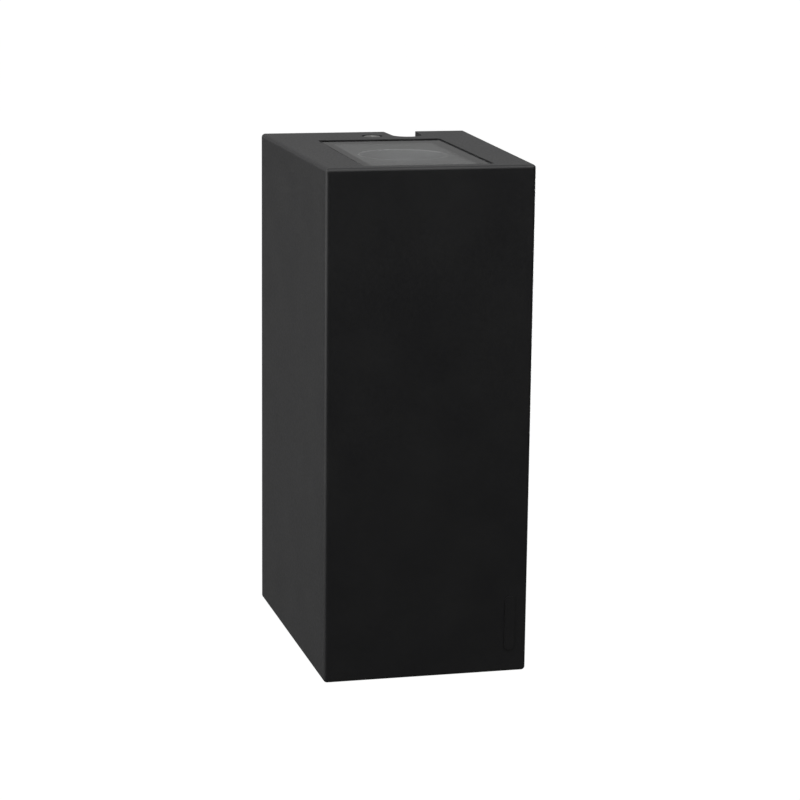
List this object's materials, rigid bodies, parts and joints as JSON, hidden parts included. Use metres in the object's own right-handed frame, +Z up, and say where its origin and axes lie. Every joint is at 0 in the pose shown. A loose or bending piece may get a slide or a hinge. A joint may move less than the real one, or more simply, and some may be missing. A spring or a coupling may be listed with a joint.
{
  "type": "outdoor wall light",
  "caption": "Cuboid up-and-down outdoor wall light: a cast housing with a glass window at each end slides off a wall bracket once its lock screws are undone.",
  "frame": {"origin": "on the wall plane, at the middle of the bracket's back, halfway between the two wall screw slots", "axes": "+Z up, -Y out of the wall towards the room, +X to the right for someone facing the light"},
  "size_m": [0.087, 0.1174, 0.2],
  "materials": {
    "black_paint": "satin black powder coat on cast aluminium",
    "zinc_steel": "zinc-plated pressed steel",
    "foam": "matt closed-cell foam",
    "black_rubber": "matt rubber",
    "white_plastic": "white moulded polyamide",
    "bright_screw": "bright zinc-plated screw",
    "brass": "bright brass",
    "grey_plastic": "pale grey moulded case",
    "circuit_green": "green solder mask",
    "winding_tape": "yellow winding tape over a ferrite core",
    "can_sleeve": "dark shrink sleeve",
    "brown_wire": "brown insulation",
    "blue_wire": "blue insulation",
    "earth_insulation": "green and yellow insulation",
    "white_lead": "white insulation",
    "window_glass": "clear toughened glass with a dark fired border",
    "black_silicone": "black silicone bed",
    "satin_aluminium": "satin anodised spun aluminium",
    "black_mask": "matt black moulded mask",
    "board_white": "white solder mask on an aluminium board",
    "phosphor": "yellow phosphor under clear silicone",
    "raw_aluminium": "plain extruded aluminium",
    "stainless": "stainless steel",
    "spring_steel": "phosphated spring steel"
  },
  "bodies": {
    "wall_bracket": {"bracket_plate": "zinc_steel", "wall_gasket": "foam", "cable_grommet": "black_rubber", "terminal_socket": "white_plastic", "terminal_screws": "bright_screw", "socket_screws": "bright_screw", "cable_clamp": "white_plastic", "clamp_screws": "bright_screw", "earth_tag": "brass", "earth_screw": "bright_screw"},
    "housing": {"housing": "black_paint", "top_glass": "window_glass", "top_glass_seal": "black_silicone", "top_window_mask": "black_mask", "top_reflector": "satin_aluminium", "top_led_board": "board_white", "top_led_emitter": "phosphor", "top_board_screws": "bright_screw", "top_heat_sink": "raw_aluminium", "top_heat_sink_screws": "bright_screw", "bottom_glass": "window_glass", "bottom_glass_seal": "black_silicone", "bottom_window_mask": "black_mask", "bottom_reflector": "satin_aluminium", "bottom_led_board": "board_white", "bottom_led_emitter": "phosphor", "bottom_board_screws": "bright_screw", "bottom_heat_sink": "raw_aluminium", "bottom_heat_sink_screws": "bright_screw", "plug_bridge": "zinc_steel", "bridge_screws": "bright_screw", "plug_block": "white_plastic", "plug_pins": "brass", "driver_case": "grey_plastic", "driver_lid": "grey_plastic", "driver_screws": "bright_screw", "driver_circuit": "circuit_green", "driver_transformer": "winding_tape", "driver_capacitors": "can_sleeve", "housing_earth_screw": "bright_screw", "live_wire": "brown_wire", "neutral_wire": "blue_wire", "earth_wire": "earth_insulation", "top_led_lead": "white_lead", "bottom_led_lead": "white_lead"},
    "top_lock": {"top_lock_screw": "stainless", "top_lock_clip": "spring_steel"},
    "bottom_lock": {"bottom_lock_screw": "stainless", "bottom_lock_clip": "spring_steel"},
    "top_nut": {"top_clamp_nut": "zinc_steel"},
    "bottom_nut": {"bottom_clamp_nut": "zinc_steel"}
  },
  "joints": [
    {"name": "housing_slide", "type": "slide", "parent": "wall_bracket", "child": "housing", "axis": [0, -1, 0], "range_m": [0, 0.12]},
    {"name": "top_nut_travel", "type": "slide", "parent": "housing", "child": "top_nut", "axis": [0, 0, -1], "range_m": [0, 0.0021]},
    {"name": "bottom_nut_travel", "type": "slide", "parent": "housing", "child": "bottom_nut", "axis": [0, 0, 1], "range_m": [0, 0.0021]},
    {"name": "top_screw_turn", "type": "hinge", "parent": "housing", "child": "top_lock", "pos_m": [0, -0.0154, 0.099], "axis": [0, 0, 1], "range_deg": [0, 1080]},
    {"name": "bottom_screw_turn", "type": "hinge", "parent": "housing", "child": "bottom_lock", "pos_m": [0, -0.0154, -0.099], "axis": [0, 0, -1], "range_deg": [0, 1080]}
  ],
  "couplings": [
    {"joint": "top_screw_turn", "follows": "top_nut_travel", "rad_per_m": 8975.9},
    {"joint": "bottom_screw_turn", "follows": "bottom_nut_travel", "rad_per_m": 8975.9}
  ]
}
